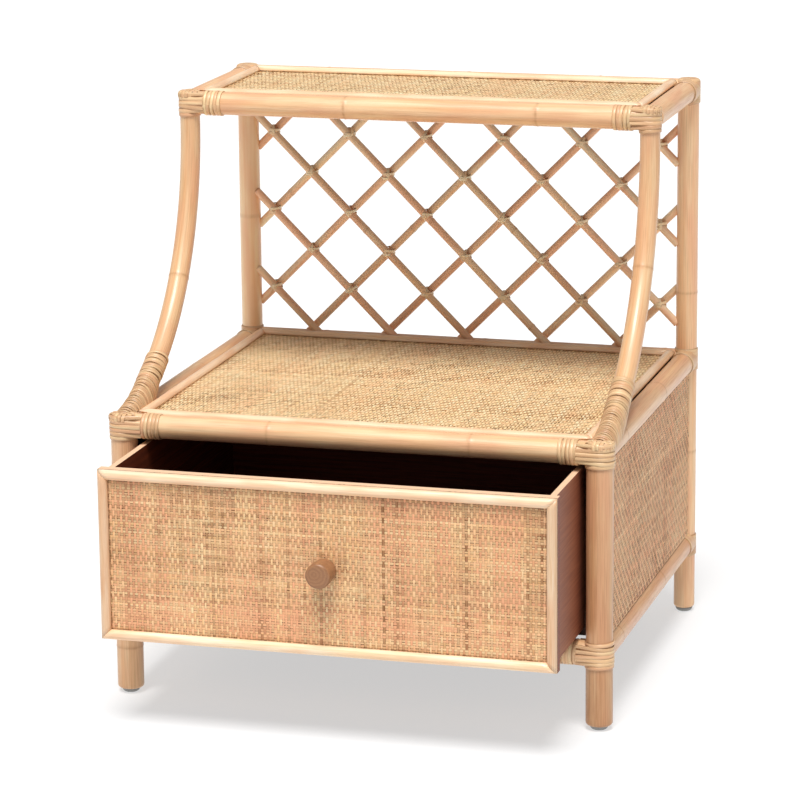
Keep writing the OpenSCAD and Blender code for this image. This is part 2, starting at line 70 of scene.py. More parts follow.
# ---------------------------------------------------------------------------------------
# The poles: legs, posts, arms and rails. Each is one length of rattan cane, peeled and
# sanded round, a little uneven, with low growth rings a hand's breadth or more apart.
POLE_SIDES = 32
POLE_STEP = 2 * MM
RING_HEIGHT, RING_WIDTH = 0.35 * MM, 1.4 * MM


def linear(code):
    """An sRGB hex colour as linear red, green, blue and alpha."""
    parts = [int(code[i:i + 2], 16) / 255 for i in (0, 2, 4)]
    return [c / 12.92 if c <= 0.04045 else ((c + 0.055) / 1.055) ** 2.4 for c in parts] + [1]


def node(material, kind, inputs=None, **settings):
    """Adds a node to a material. inputs are values or output sockets, by socket name or number."""
    made = material.node_tree.nodes.new(kind)
    for name, value in settings.items():
        setattr(made, name, value)
    for key, value in (inputs or {}).items():
        if isinstance(value, bpy.types.NodeSocket):
            material.node_tree.links.new(value, made.inputs[key])
        else:
            made.inputs[key].default_value = value
    return made


def blend(material, share, first, second):
    """Mixes two colours, each a value or a socket."""
    return node(material, "ShaderNodeMix", {0: share, 6: first, 7: second}, data_type="RGBA").outputs[2]


def remap(material, value, low, high, to_low, to_high):
    """Spreads the values between low and high over another range."""
    return node(material, "ShaderNodeMapRange", {"Value": value, "From Min": low, "From Max": high,
                                                 "To Min": to_low, "To Max": to_high}).outputs[0]


def reckon(material, operation, *values, use_clamp=False):
    """A sum, product or comparison of values and sockets."""
    return node(material, "ShaderNodeMath", dict(enumerate(values)), operation=operation,
                use_clamp=use_clamp).outputs[0]


def new_material(name):
    """A material with no nodes yet."""
    made = bpy.data.materials.new(name)
    made.use_nodes = True
    made.node_tree.nodes.clear()
    return made


def finish_surface(material, **sockets):
    """Adds the shader and the output node; an underscore in a socket's name is a space."""
    shader = node(material, "ShaderNodeBsdfPrincipled", {k.replace("_", " "): v for k, v in sockets.items()})
    node(material, "ShaderNodeOutputMaterial", {"Surface": shader.outputs[0]})


def cane_material(name, pale, body, blush, dark, fibre_mm=0.8, streak_mm=5, roughness=0.42, coat=0.15,
                  bump=0.25, contrast=1.0):
    """Cut cane: fine fibres along the piece, broad pale and tan streaks, pink patches, dark rings.

    The grain attribute holds the place across and along the piece in metres; tone makes a
    piece or a strand darker, for its own colour and for painted shade, and hue turns it from
    yellow to pink.
    """
    m = new_material(name)
    grain = node(m, "ShaderNodeAttribute", attribute_name="grain").outputs["Vector"]
    tone = node(m, "ShaderNodeAttribute", attribute_name="tone").outputs["Fac"]
    hue = node(m, "ShaderNodeAttribute", attribute_name="hue").outputs["Fac"]
    ring = node(m, "ShaderNodeAttribute", attribute_name="ring").outputs["Fac"]
    # Fibres, streaks and patches: width and length in millimetres, detail, roughness, shift
    figures = []
    for wide, long, detail, broken, shift in ((fibre_mm, 45 * fibre_mm, 3.0, 0.6, (0, 0, 0)),
                                              (streak_mm, 24 * streak_mm, 2.0, 0.5, (0, 0, 0)),
                                              (3 * streak_mm, 14 * streak_mm, 2.0, 0.5, (7.3, 1.9, 4.1))):
        scale = (1 / (wide * MM), 1 / (wide * MM), 1 / (long * MM))
        place = node(m, "ShaderNodeMapping", {"Vector": grain, "Scale": scale, "Location": shift}).outputs[0]
        figures.append(node(m, "ShaderNodeTexNoise", {"Vector": place, "Scale": 1.0, "Detail": detail,
                                                      "Roughness": broken}).outputs["Fac"])
    fine, broad, patch = figures
    colour = blend(m, remap(m, broad, 0.34, 0.66, 0.0, 1.0), linear(pale), linear(body))
    rosy = reckon(m, "ADD", remap(m, patch, 0.42, 0.68, 0.0, 0.75), hue, use_clamp=True)
    colour = blend(m, rosy, colour, linear(blush))
    shade = reckon(m, "ADD", remap(m, fine, 0.45, 0.75, 0.0, 0.42 * contrast), tone, use_clamp=True)
    # Growth rings and the tone darken the colour together; in places the tone is painted shade.
    rings_tone_and_painted_shade = reckon(m, "MULTIPLY_ADD", ring, 0.55, shade, use_clamp=True)
    relief = node(m, "ShaderNodeBump", {"Height": fine, "Strength": bump, "Distance": 0.25 * MM})
    finish_surface(m, Base_Color=blend(m, rings_tone_and_painted_shade, colour, linear(dark)),
                   Roughness=remap(m, fine, 0.3, 0.7, roughness - 0.07, roughness + 0.1),
                   Normal=relief.outputs[0], Coat_Weight=coat, Coat_Roughness=0.28)
    return m


class Bundle:
    """The bars, bands or strands of one piece, with each point's place in the grain."""

    def __init__(self):
        self.points, self.quads, self.tris, self.numbers, self.count = [], [], [], [], 0

    def add(self, points, quads, tris, grain, tone, hue, ring):
        total = len(points)
        self.points.append(points)
        self.quads.append(np.asarray(quads, int).reshape(-1, 4) + self.count)
        self.tris.append(np.asarray(tris, int).reshape(-1, 3) + self.count)
        spread = [np.broadcast_to(np.asarray(v, float), (total,)) for v in (tone, hue, ring)]
        self.numbers.append(np.column_stack([grain] + spread))
        self.count += total

    def loft(self, rows, grain, tone=0.0, hue=0.0, ring=0.0, round_=True, caps=False):
        """Joins rows of points, shaped (rows, points in a row, 3), into a skin."""
        m, n = rows.shape[:2]
        at = np.arange(m * n).reshape(m, n)
        last = n if round_ else n - 1
        a, b = at[:-1, :last], at[1:, :last]
        c, d = np.roll(at, -1, 1)[1:, :last], np.roll(at, -1, 1)[:-1, :last]
        quads = np.stack([a, d, c, b], -1).reshape(-1, 4)
        points, where = rows.reshape(-1, 3), grain.reshape(-1, 3)
        tone, hue, ring = [np.broadcast_to(np.asarray(v, float).reshape(-1, 1) if np.ndim(v) == 1 else v,
                                           (m, n)).reshape(-1) for v in (tone, hue, ring)]
        tris = []
        if caps:
            points = np.vstack([points, rows[0].mean(0), rows[-1].mean(0)])
            where = np.vstack([where, grain[0].mean(0), grain[-1].mean(0)])
            tone, hue, ring = [np.append(v, [v[0], v[-1]]) for v in (tone, hue, ring)]
            first = [(at[0, k], m * n, at[0, (k + 1) % n]) for k in range(n)]
            tris = first + [(at[-1, k], at[-1, (k + 1) % n], m * n + 1) for k in range(n)]
        self.add(points, quads, tris, where, tone, hue, ring)

    def build(self, name, material, body, slot, *nodes):
        """Makes the piece, which rides on a body and stands for the CAD nodes."""
        points, numbers = np.vstack(self.points), np.vstack(self.numbers)
        quads, tris = np.vstack(self.quads), np.vstack(self.tris)
        mesh = bpy.data.meshes.new(name)
        mesh.vertices.add(len(points))
        mesh.vertices.foreach_set("co", points.astype(np.float32).ravel())
        mesh.loops.add(quads.size + tris.size)
        corners = np.concatenate([quads.ravel(), tris.ravel()]).astype(np.int32)
        mesh.loops.foreach_set("vertex_index", corners)
        mesh.polygons.add(len(quads) + len(tris))
        starts = np.concatenate([np.arange(len(quads)) * 4, quads.size + np.arange(len(tris)) * 3])
        mesh.polygons.foreach_set("loop_start", starts.astype(np.int32))
        mesh.update(calc_edges=True)
        mesh.validate()
        mesh.polygons.foreach_set("use_smooth", np.ones(len(mesh.polygons), bool))
        grain = mesh.attributes.new("grain", "FLOAT_VECTOR", "POINT")
        grain.data.foreach_set("vector", numbers[:, :3].astype(np.float32).ravel())
        for column, key in enumerate(("tone", "hue", "ring"), 3):
            layer = mesh.attributes.new(key, "FLOAT", "POINT")
            layer.data.foreach_set("value", numbers[:, column].astype(np.float32))
        mesh.materials.append(material)
        made = bpy.data.objects.new(name, mesh)
        bpy.context.scene.collection.objects.link(made)
        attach(made, body)
        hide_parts(*nodes)


def lay_pole(bundle, path, side, radius, seed, tone=0.0, hue=0.0, foot=0.0, head=0.0, painted_foot_shade=0.0):
    """Lays a round cane along a path; side is a direction square to the whole path.

    The last argument is how much darker it is painted at its start than at its end, as shade.
    """
    draw = np.random.default_rng(seed)
    path, side = np.asarray(path, float), np.asarray(side, float)
    run = np.concatenate([[0], np.cumsum(np.linalg.norm(np.diff(path, axis=0), axis=1))])
    length = run[-1]
    corner = np.radians(np.linspace(0, 90, 7))
    start, end = foot * (1 - np.cos(corner)), length - head * (1 - np.cos(corner[::-1]))
    middle = np.linspace(foot + 1e-5, length - head - 1e-5, max(3, int(length / POLE_STEP)))
    along = np.concatenate([start if foot else [0], middle, end if head else [length]])
    trim = np.concatenate([foot * (1 - np.sin(corner)) if foot else [0], np.zeros(len(middle)),
                           head * (1 - np.sin(corner[::-1])) if head else [0]])
    centre = np.column_stack([np.interp(along, run, path[:, k]) for k in range(3)])
    ahead_ = np.gradient(np.column_stack([np.interp(np.clip(along, 1e-4, length - 1e-4), run, path[:, k])
                                          for k in range(3)]), axis=0)
    ahead_ = ahead_ / np.maximum(np.linalg.norm(ahead_, axis=1, keepdims=True), 1e-12)
    across = np.cross(ahead_, side)
    across /= np.maximum(np.linalg.norm(across, axis=1, keepdims=True), 1e-12)
    marks, at = [], draw.uniform(0.02, 0.2)
    while at < length - 0.01:
        marks.append(at)
        at += draw.uniform(0.13, 0.24)
    ring = np.zeros(len(along))
    for mark in marks:
        ring = np.maximum(ring, np.exp(-((along - mark) / RING_WIDTH) ** 2))
    sway = 0.006 * radius * np.sin(along / 0.031 + draw.uniform(0, 6))
    size = radius + sway + RING_HEIGHT * ring - trim
    turn = np.linspace(0, 2 * math.pi, POLE_SIDES, endpoint=False)
    oval = 1 + 0.006 * np.cos(2 * turn + draw.uniform(0, 6))
    spoke = size[:, None] * oval[None, :]
    rows = (centre[:, None] + (spoke * np.cos(turn))[..., None] * side
            + (spoke * np.sin(turn))[..., None] * across[:, None])
    twist = turn[None, :] + along[:, None] * draw.uniform(-0.6, 0.6)
    shift = draw.uniform(-5, 5, 3)
    grain = np.stack([radius * np.cos(twist) + shift[0], radius * np.sin(twist) + shift[1],
                      np.broadcast_to(along[:, None] + shift[2], twist.shape)], -1)
    speckle = np.clip(draw.normal(0, 0.5, POLE_SIDES), -0.6, 1)
    # The start is painted darker than the end, as shade.
    bundle.loft(rows, grain, tone=tone + painted_foot_shade * (1 - along / length), hue=hue,
                ring=np.outer(ring, 0.45 + 0.3 * speckle), caps=True)


# Peeled rattan cane, sanded and lacquered: satin, honey coloured, with long pink and pale
# streaks and dark rings where leaves grew.
peeled_rattan = cane_material("peeled_rattan_lacquered", pale="FADAAC", body="F1BF8B", blush="EFB78C",
                              dark="9A6230", fibre_mm=1.0, roughness=0.4, coat=0.35, bump=0.15, contrast=0.7)

X, Y, Z = np.eye(3)


def corners_of(node_name):
    """The low and high corners of a CAD node's box."""
    return [np.array(corner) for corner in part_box(node_name)]


def middle_of(node_name):
    """The middle and the size of a CAD node's box."""
    low, high = corners_of(node_name)
    return (low + high) / 2, high - low


RAIL_R = middle_of("deck_rail_rear")[1][1] / 2
LEG_R = middle_of("front_leg_right")[1][0] / 2
POST_R = middle_of("rear_post_right")[1][0] / 2
ARM_R = middle_of("arm_right")[1][0] / 2
LEG_X = middle_of("front_leg_right")[0][0]
LEG_Y = -middle_of("front_leg_right")[0][1]
BASE_Z = middle_of("base_rail_rear")[0][2]
DECK_Z = middle_of("deck_rail_rear")[0][2]
SHELF_Z = middle_of("top_rail_rear")[0][2]
ARM_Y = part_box("arm_right")[1][1] - ARM_R
# The arm's bend is a quarter circle that would end level with the side rail
BEND_R = 260 * MM
BEND_Z = DECK_Z + BEND_R
FOOT_ROUND = 3 * MM

# Name, tone, hue, seed and how much darker the foot is painted, as shade. The right front leg's
# tone is partly painted shade, and the left rear post's is painted light against the shade it stands in.
UPRIGHTS = (("front_leg_left", 0.21, 0.15, 11, 0.1), ("front_leg_right", 0.26, 0.3, 12, 0.38),
            ("rear_post_left", -0.25, 0.05, 13, 0.0), ("rear_post_right", 0.0, 0.25, 14, 0.04))
for name, tone, hue, seed, painted_foot_shade in UPRIGHTS:
    centre, size = middle_of(name)
    low, high = centre[2] - size[2] / 2, centre[2] + size[2] / 2
    pole = Bundle()
    lay_pole(pole, [(centre[0], centre[1], low), (centre[0], centre[1], high)], X, size[0] / 2, seed,
             tone, hue, foot=FOOT_ROUND, head=FOOT_ROUND, painted_foot_shade=painted_foot_shade)
    pole.build(name + "_cane", peeled_rattan, "cabinet", "rattan", name)

# Name, direction, tone, hue and seed. The rails on the right are painted darker than those on the left, as
# shade.
RAILS = (("top_rail_front", X, 0.13, 0.2, 21), ("top_rail_rear", X, 0.06, 0.1, 22),
         ("deck_rail_front", X, 0.03, 0.2, 23), ("deck_rail_rear", X, 0.08, 0.1, 24),
         ("base_rail_front", X, 0.03, 0.2, 25), ("base_rail_rear", X, 0.05, 0.1, 26),
         ("top_rail_left", Y, 0.05, 0.3, 27), ("top_rail_right", Y, 0.14, 0.35, 28),
         ("deck_rail_left", Y, 0.03, 0.2, 29), ("deck_rail_right", Y, 0.16, 0.4, 30),
         ("base_rail_left", Y, 0.04, 0.2, 31), ("base_rail_right", Y, 0.3, 0.35, 32))
for name, way, tone, hue, seed in RAILS:
    centre, size = middle_of(name)
    reach = abs(size @ way) / 2
    centre[2] = {"t": SHELF_Z, "d": DECK_Z, "b": BASE_Z}[name[0]]
    # The ends run on a few millimetres inside the poles
    if way is Y:
        centre[0] = math.copysign(LEG_X, centre[0])
        reach += 2 * MM
    else:
        centre[1] = {"top_rail_front": ARM_Y}.get(name, math.copysign(LEG_Y, centre[1]))
        reach = LEG_X - 4 * MM
    pole = Bundle()
    lay_pole(pole, [centre - way * reach, centre + way * reach], Z, RAIL_R, seed, tone, hue)
    pole.build(name + "_cane", peeled_rattan, "cabinet", "rattan", name)


def arm_point(x, angle):
    """A point on an arm's axis, at an angle of its bend, 0 being the top of the bend."""
    return np.array([x, ARM_Y - BEND_R * (1 - math.cos(angle)), BEND_Z - BEND_R * math.sin(angle)])


ARM_END = math.radians(76)
for side_name, sign, seed in (("left", -1, 41), ("right", 1, 42)):
    x = sign * LEG_X
    path = [(x, ARM_Y, SHELF_Z + RAIL_R)] + [arm_point(x, t) for t in np.linspace(0, ARM_END, 60)]
    pole = Bundle()
    lay_pole(pole, path, X, ARM_R, seed, 0.25, 0.15, foot=2 * MM, head=2 * MM)
    pole.build(f"arm_{side_name}_cane", peeled_rattan, "cabinet", "rattan", f"arm_{side_name}")


# ---------------------------------------------------------------------------------------
# The boards behind and under the mats, with the runners, kickers and stops: thin plywood
# and battens, stained almost black-brown before assembly, glued and nailed to the poles.
def stained_wood(name, light, dark, way, roughness, raw=None, outer=None):
    """Stained wood with open grain along an axis.

    raw gives the colours of its unstained top edges, outer those of the side away from x = 0.
    """
    m = new_material(name)
    place = node(m, "ShaderNodeTexCoord")
    scale = [1 / (2.2 * MM)] * 3
    scale[way] = 1 / (70 * MM)
    grain = node(m, "ShaderNodeMapping", {"Vector": place.outputs["Object"], "Scale": scale}).outputs[0]
    figure = node(m, "ShaderNodeTexNoise", {"Vector": grain, "Scale": 1.0, "Detail": 4.0, "Distortion": 0.4})
    pores = node(m, "ShaderNodeTexNoise", {"Vector": grain, "Scale": 3.1, "Detail": 2.0})
    tint = remap(m, figure.outputs["Fac"], 0.35, 0.65, 0.0, 1.0)
    colour = blend(m, tint, linear(light), linear(dark))
    facing = node(m, "ShaderNodeSeparateXYZ", {0: place.outputs["Normal"]})
    if outer:
        beside = node(m, "ShaderNodeSeparateXYZ", {0: place.outputs["Object"]}).outputs["X"]
        away = reckon(m, "GREATER_THAN", reckon(m, "MULTIPLY", facing.outputs["X"], beside), 0.05)
        colour = blend(m, away, colour, blend(m, tint, linear(outer[0]), linear(outer[1])))
    if raw:
        top = reckon(m, "GREATER_THAN", facing.outputs["Z"], 0.8)
        speck = blend(m, pores.outputs["Fac"], linear(raw[0]), linear(raw[1]))
        colour = blend(m, top, colour, speck)
    relief = node(m, "ShaderNodeBump", {"Height": pores.outputs["Fac"], "Strength": 0.2,
                                        "Distance": 0.2 * MM})
    finish_surface(m, Base_Color=colour, Roughness=roughness, Normal=relief.outputs[0])
    return m


def dress(material, *names):
    """Gives CAD nodes a material, in the slots they have."""
    for name in names:
        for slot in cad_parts[name].material_slots:
            slot.material = material


# Plywood stained dark: matt, hardly any grain shows through the stain.
dark_plywood = stained_wood("plywood_dark_stain", "3A2016", "22110B", 0, 0.62)
dress(dark_plywood, "shelf_board", "deck_board", "back_board", "kickers", "drawer_stops",
      "side_board_left", "side_board_right", "runner_left", "runner_right")


# ---------------------------------------------------------------------------------------
# Zinc plated screws: countersunk ones through the poles into the rail ends, hidden by the
# bindings, shorter ones through the runners, and the one that holds the knob.
zinc = new_material("screw_zinc_plated")
zinc_place = node(zinc, "ShaderNodeTexCoord").outputs["Object"]
zinc_spots = node(zinc, "ShaderNodeTexNoise", {"Vector": zinc_place, "Scale": 900.0, "Detail": 2.0})
finish_surface(zinc, Base_Color=linear("B9BCC0"), Metallic=1.0,
               Roughness=remap(zinc, zinc_spots.outputs["Fac"], 0.0, 1.0, 0.25, 0.5))
dress(zinc, "frame_screws", "runner_screws", "knob_screw")


# ---------------------------------------------------------------------------------------
# The woven mats: flat strands of cane core, about three millimetres wide, woven by the
# metre, cut to size and glued to the boards. Gaps between strands show the dark board.
def smooth_noise(draw, rows, columns, cell_rows, cell_columns):
    """Random numbers that change slowly over a grid, between about -1 and 1."""
    coarse = draw.normal(0, 0.6, (rows // cell_rows + 3, columns // cell_columns + 3))
    r, c = np.arange(rows) / cell_rows, np.arange(columns) / cell_columns
    near = np.stack([np.interp(c, np.arange(coarse.shape[1]), line) for line in coarse])
    return np.stack([np.interp(r, np.arange(coarse.shape[0]), near[:, k]) for k in range(columns)], 1)


def strand_set(bundle, origin, across, along, up, size_across, size_along, count, crossings, high, fine,
               draw, width, thick, tones, covered, loose):
    """Lays the parallel strands of one direction.

    high(i, j) is true where strand i passes over, and loose where strands stand a little
    apart. fine adds a point between crossings; covered is how far a bead hides each border,
    and within it the strands are painted darker at random: a painted shadow line along the bead.
    """
    side = (np.arange(count) + 0.5) * size_across / count
    centre = (np.arange(crossings) + 0.5) * size_along / crossings
    i, j = np.meshgrid(np.arange(count), np.arange(crossings), indexing="ij")
    level_ = np.where(high(i, j), 1.0, -1.0)
    gap = np.where(draw.random((count, crossings)) < 0.18, draw.uniform(0.5, 0.8, (count, crossings)), 1.0)
    gap = np.where(loose, draw.uniform(0.3, 0.6, (count, crossings)), gap)
    if fine:
        run = np.empty(2 * crossings - 1)
        run[0::2], run[1::2] = centre, (centre[:-1] + centre[1:]) / 2
        height, narrow = np.empty((count, len(run))), np.ones((count, len(run)))
        height[:, 0::2], height[:, 1::2] = level_, (level_[:, :-1] + level_[:, 1:]) / 2
        narrow[:, 0::2], narrow[:, 1::2] = gap, (gap[:, :-1] + gap[:, 1:]) / 2 * 0.95
    else:
        run, height, narrow = centre, level_, gap
    run = np.concatenate([[0], run, [size_along]])
    height, narrow = [np.pad(v, ((0, 0), (1, 1)), mode="edge") for v in (height, narrow)]
    rows, columns = height.shape
    wander = smooth_noise(draw, rows, columns, 2, 9) * 0.09 * width
    half = (width / 2 * narrow * (1 + draw.normal(0, 0.05, (rows, 1))))[..., None] * np.array([-1, 0, 1])
    crown = thick * 0.4 * np.array([0, 1, 0])
    place = (origin + (side[:, None, None] + wander[..., None] + half)[..., None] * across
             + np.broadcast_to(run[None, :, None, None], half.shape + (1,)) * along
             + (0.6 * thick * height[..., None] + thick + crown)[..., None] * up)
    # Each strand has its own tone and its neighbours are alike; it is painted darker where it dives, as
    # shade.
    base, spread, odd, edge, painted_dip_shade, blush = tones
    tone = base + spread * smooth_noise(draw, rows, columns, 6, 120)
    tone = tone + draw.normal(0, 0.6 * spread, (rows, 1))
    tone = tone + 0.8 * spread * smooth_noise(draw, rows, columns, 1, 14)
    tone = tone + np.where(draw.random((rows, 1)) < odd, 0.35, 0) + np.where(height < 0, painted_dip_shade, 0)
    # Strands next to a bead are painted darker at random: a painted shadow line along its edge.
    near = np.minimum(side, size_across - side)[:, None] < covered
    far = np.minimum(run, size_along - run)[None, :] < covered
    tone = tone + np.where(near | far, draw.uniform(0, 0.55, (rows, columns)), 0)
    hue = blush * smooth_noise(draw, rows, columns, 6, 160) + draw.normal(0.06, 0.12, (rows, 1))
    shift = draw.uniform(-40, 40, (rows, 1, 1))
    grain = np.stack(np.broadcast_arrays(half + shift, side[:, None, None],
                                         run[None, :, None] + shift), -1)
    at = np.arange(place[..., 0].size).reshape(place.shape[:3])
    quads = np.stack([at[:, :-1, :-1], at[:, :-1, 1:], at[:, 1:, 1:], at[:, 1:, :-1]], -1).reshape(-1, 4)
    if np.dot(np.cross(across, along), up) < 0:
        quads = quads[:, ::-1]
    # The strands' edges are painted darker, as shade between neighbours.
    tone = np.clip(tone, 0, 0.8)[..., None] + np.array([edge, 0, edge])
    hue = np.broadcast_to(np.clip(hue, 0, 1)[..., None], half.shape)
    bundle.add(place.reshape(-1, 3), quads, [], grain.reshape(-1, 3), tone.reshape(-1), hue.reshape(-1), 0.0)


def twill(i, j):
    """Over two and under two, each strand one step on from its neighbour: slanting ribs."""
    return (i - j) % 4 < 2


def hopsack(i, j):
    """Over two and under two, neighbours the other way round: upright dashes."""
    return (i + j // 2) % 2 == 0


def woven_mat(name, node_name, body, u, v, up, pitch, pattern, fine, seed, tones, strand,
              thick=0.42 * MM, bead=0.0, seams=0.0):
    """Weaves a mat in a CAD mat's place: strands along v side by side along u, and cross strands.

    tones has six numbers for each direction: how dark its strands are, how much that
    differs, the share of odd dark ones, the painted shade at their edges and in their dips, the pink.
    """
    draw = np.random.default_rng(seed)
    centre, size = middle_of(node_name)
    size_u, size_v = abs(size @ u), abs(size @ v)
    origin = centre - u * size_u / 2 - v * size_v / 2 - up * abs(size @ up) / 2
    mat = Bundle()
    across, along = int(size_u / pitch), int(size_v / pitch)
    covered = bead + 1.4 * MM if bead else 0.0
    # seams is the share of the slanting ribs along which strands have shrunk apart
    i, j = np.meshgrid(np.arange(across), np.arange(along), indexing="ij")
    loose = (draw.random(across + along) < seams)[i - j + along] & (draw.random((across, along)) < 0.6)
    loose &= smooth_noise(draw, across, along, 18, 18) > -0.15
    strand_set(mat, origin, u, v, up, size_u, size_v, across, along, pattern, fine,
               draw, 0.97 * pitch, thick, tones[0], covered, loose)
    strand_set(mat, origin, v, u, up, size_v, size_u, along, across, lambda i, j: ~pattern(j, i), fine,
               draw, 0.95 * pitch, thick, tones[1], covered, loose.T)
    mat.build(name, strand, body, "cane_weave", node_name)


# Split cane core, woven dry and left matt: fibres along each strand, and tones from straw
# to pink and brown from one strand to the next. The drawer's mat has the deepest colours.
CORE = dict(fibre_mm=0.4, streak_mm=2.5, roughness=0.5, coat=0.0, bump=0.3, contrast=0.7)
cane_strand = cane_material("cane_core_woven", pale="FFE0AC", body="F6C286", blush="F3B084",
                            dark="7C4A1C", **CORE)
# The deck and shelf have the palest core: cream and straw, with painted shade in light brown at the strands'
# edges.
pale_strand = cane_material("cane_core_woven_pale", pale="FFF2C8", body="FFDEA2", blush="FFD09E",
                            dark="A46C36", **CORE)
# The sides and back have a rosier core: straw and peach, with painted shade in dark brown at the strands'
# edges.
panel_strand = cane_material("cane_core_woven_panel", pale="FFE2B0", body="FFCC90", blush="FFB684",
                             dark="90522A", **CORE)
BEAD_W = 2 * middle_of("deck_bead")[1][2]
DECK_PITCH, PANEL_PITCH = 3.1 * MM, 2.8 * MM
PANEL_THICK = 0.6 * MM
DECK_SEAMS, PANEL_SEAMS = 0.16, 0.2
# The fourth and fifth numbers of each direction are painted shade, at strand edges and in dips.
PALE_TONES = ((-0.16, 0.14, 0.02, 0.3, 0.5, 0.5), (0.22, 0.12, 0.01, 0.35, 0.4, 0.3))
RAGGED_TONES = ((-0.12, 0.2, 0.05, 0.34, 0.55, 0.4), (0.2, 0.18, 0.04, 0.34, 0.45, 0.3))
for name, seed in (("deck", 51), ("shelf", 52)):
    woven_mat(f"{name}_mat", f"{name}_weave", "cabinet", X, Y, Z, DECK_PITCH, twill, False, seed,
              PALE_TONES, pale_strand, bead=BEAD_W, seams=DECK_SEAMS)
for side_name, out, seed in (("left", -X, 53), ("right", X, 54)):
    woven_mat(f"side_mat_{side_name}", f"side_weave_{side_name}", "cabinet", -Y, Z, out, PANEL_PITCH,
              twill, True, seed, RAGGED_TONES, panel_strand, thick=PANEL_THICK, seams=PANEL_SEAMS)
woven_mat("back_mat", "back_weave", "cabinet", -X, Z, Y, PANEL_PITCH, twill, False, 55,
          RAGGED_TONES, panel_strand, seams=PANEL_SEAMS)


# ---------------------------------------------------------------------------------------
# The beads: half-round cane, mitred at the corners and pinned round each mat to cover its
# cut edges. The slips at the front edges of the side mats are the same, but thinner.
def lay_bead(bundle, corner, way, inward, up, length, width, draw, mitred=True, tone=0.03):
    """Lays one half-round bar from a corner, with its flat side down and mitred ends."""
    angle = np.linspace(0, math.pi, 13)
    lateral = width / 2 * (1 - np.cos(angle))
    lateral, height = np.append(lateral, width / 2), np.append(width / 2 * np.sin(angle), 0)
    steps = np.linspace(0, 1, max(3, int(length / (6 * MM))))
    cut = lateral if mitred else np.zeros_like(lateral)
    along = cut[None, :] + steps[:, None] * (length - 2 * cut[None, :])
    swell = 1 + 0.025 * np.sin(along / 0.037 + draw.uniform(0, 6)) + 0.012 * np.sin(along / 0.011)
    rows = (corner + along[..., None] * way + np.broadcast_to(lateral[:, None], along.shape + (1,)) * inward
            + (height * swell)[..., None] * up)
    shift = draw.uniform(-5, 5, 3)
    grain = np.stack([np.broadcast_to(lateral + shift[0], along.shape),
                      np.broadcast_to(height + shift[1], along.shape), along + shift[2]], -1)
    facing = np.dot(np.cross(way, inward), up)
    if facing < 0:
        rows, grain = rows[:, ::-1], grain[:, ::-1]
    bundle.loft(rows, grain, tone=tone + draw.uniform(-0.03, 0.03), hue=draw.uniform(0, 0.5), caps=True)


def bead_frame(name, node_name, body, u, v, up, width, seed):
    """Four mitred bars round a CAD bead's outline."""
    draw = np.random.default_rng(seed)
    centre, size = middle_of(node_name)
    size_u, size_v = abs(size @ u), abs(size @ v)
    low = centre - u * size_u / 2 - v * size_v / 2 - up * abs(size @ up) / 2
    # The upright bars of the drawer are painted darker than the rest, as shade.
    side_bar_tone_and_shade = 0.36 if v is Z else 0.06
    bars = Bundle()
    lay_bead(bars, low, u, v, up, size_u, width, draw)
    lay_bead(bars, low + v * size_v, u, -v, up, size_u, width, draw)
    lay_bead(bars, low, v, u, up, size_v, width, draw, tone=side_bar_tone_and_shade)
    lay_bead(bars, low + u * size_u, v, -u, up, size_v, width, draw, tone=side_bar_tone_and_shade)
    bars.build(name, bead_cane, body, "rattan", node_name)


# Half-round cane core, sanded and thinly lacquered: paler than the poles, with finer fibres.
bead_cane = cane_material("half_round_cane_lacquered", pale="FFEDD0", body="F8D5AA", blush="F2C49C",
                          dark="B07848", fibre_mm=0.7, streak_mm=4, roughness=0.38, coat=0.2, contrast=0.7)
bead_frame("deck_bead_bars", "deck_bead", "cabinet", X, Y, Z, BEAD_W, 61)
bead_frame("shelf_bead_bars", "shelf_bead", "cabinet", X, Y, Z, BEAD_W, 62)

slips = Bundle()
slip_low, slip_high = corners_of("side_slips")
slip_w = slip_high[1] - slip_low[1]
slip_draw = np.random.default_rng(63)
for sign in (-1, 1):
    base = np.array([sign * (slip_high[0] - slip_w / 2), slip_low[1], slip_low[2]])
    lay_bead(slips, base, Z, Y, sign * X, slip_high[2] - slip_low[2], slip_w, slip_draw, mitred=False)
slips.build("side_mat_slips", bead_cane, "cabinet", "rattan", "side_slips")


# ---------------------------------------------------------------------------------------
# The lattice: thin rattan sticks at 45 degrees in two layers between the rear posts, the
# falling ones in front, tied at every crossing with a turn of peel.
LATTICE_PITCH = 83.6 * MM
LATTICE_FOOT_Z = DECK_Z + 16 * MM
STICK_TUCK = 3 * MM

# Thin cane, peeled and lacquered: paler than the poles, with a duller gloss and faint figure.
lattice_cane = cane_material("thin_cane_lacquered", pale="FFF0CC", body="FFD8A6", blush="FAC49C",
                             dark="85592F", fibre_mm=0.8, streak_mm=4, roughness=0.45, coat=0.15,
                             bump=0.1, contrast=0.5)
for name, lean, seed in (("lattice_rising", 1, 71), ("lattice_falling", -1, 72)):
    low, high = corners_of(name)
    stick_r = (high[1] - low[1]) / 2
    stick_y = (low[1] + high[1]) / 2
    bars = Bundle()
    draw = np.random.default_rng(seed)
    left = -(LEG_X - POST_R + 2 * MM)
    bottom, top = DECK_Z + RAIL_R - STICK_TUCK, SHELF_Z - RAIL_R + STICK_TUCK
    for k in range(-5, 3):
        rise = LATTICE_FOOT_Z - k * LATTICE_PITCH
        start, end = max(left, bottom - rise), min(-left, top - rise)
        half_way = (start + end) / 2
        bow = draw.uniform(-0.3, 0.3) * MM
        path = [(lean * start, stick_y, rise + start), (lean * half_way, stick_y + bow, rise + half_way),
                (lean * end, stick_y, rise + end)]
        lay_pole(bars, path, Y, stick_r, seed * 100 + k, tone=draw.uniform(-0.08, 0.2),
                 hue=draw.uniform(0, 0.7))
    bars.build(name + "_sticks", lattice_cane, "cabinet", "rattan", name)


